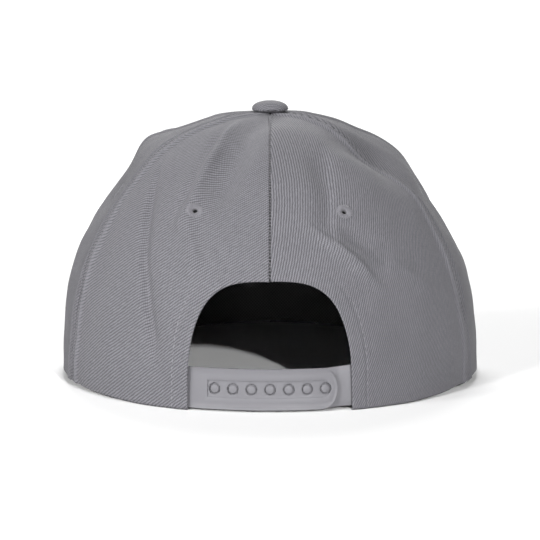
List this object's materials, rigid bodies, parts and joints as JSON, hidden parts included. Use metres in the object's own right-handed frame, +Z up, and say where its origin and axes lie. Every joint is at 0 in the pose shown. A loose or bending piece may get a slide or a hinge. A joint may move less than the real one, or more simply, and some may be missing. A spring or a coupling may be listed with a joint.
{
  "type": "snapback cap",
  "caption": "Panelled cap with a flat brim, a covered top button, stitched eyelets and a plastic snap strap across an arched opening at the back.",
  "frame": {"origin": "on the floor, under the middle of the cap's bounding box", "axes": "+Z up, +Y towards the brim's front edge, +X to the right when the cap is seen from behind, where the snap strap is"},
  "size_m": [0.188, 0.266, 0.123],
  "materials": {
    "cloth": "matt grey cotton twill",
    "thread": "matt grey embroidery thread",
    "snap_plastic": "satin grey moulded plastic",
    "black_lining": "matt black cotton and buckram"
  },
  "bodies": {
    "root": {"panel_back_left": "cloth", "panel_back_right": "cloth", "panel_side_left": "cloth", "panel_side_right": "cloth", "panel_front_left": "cloth", "panel_front_right": "cloth", "top_button": "cloth", "brim": "cloth", "eyelet_back_left": "thread", "eyelet_back_right": "thread", "eyelet_side_left": "thread", "eyelet_side_right": "thread", "eyelet_front_left": "thread", "eyelet_front_right": "thread", "strap_with_holes": "snap_plastic", "strap_with_pegs": "snap_plastic", "sweatband": "black_lining", "front_backing": "black_lining"}
  },
  "joints": []
}
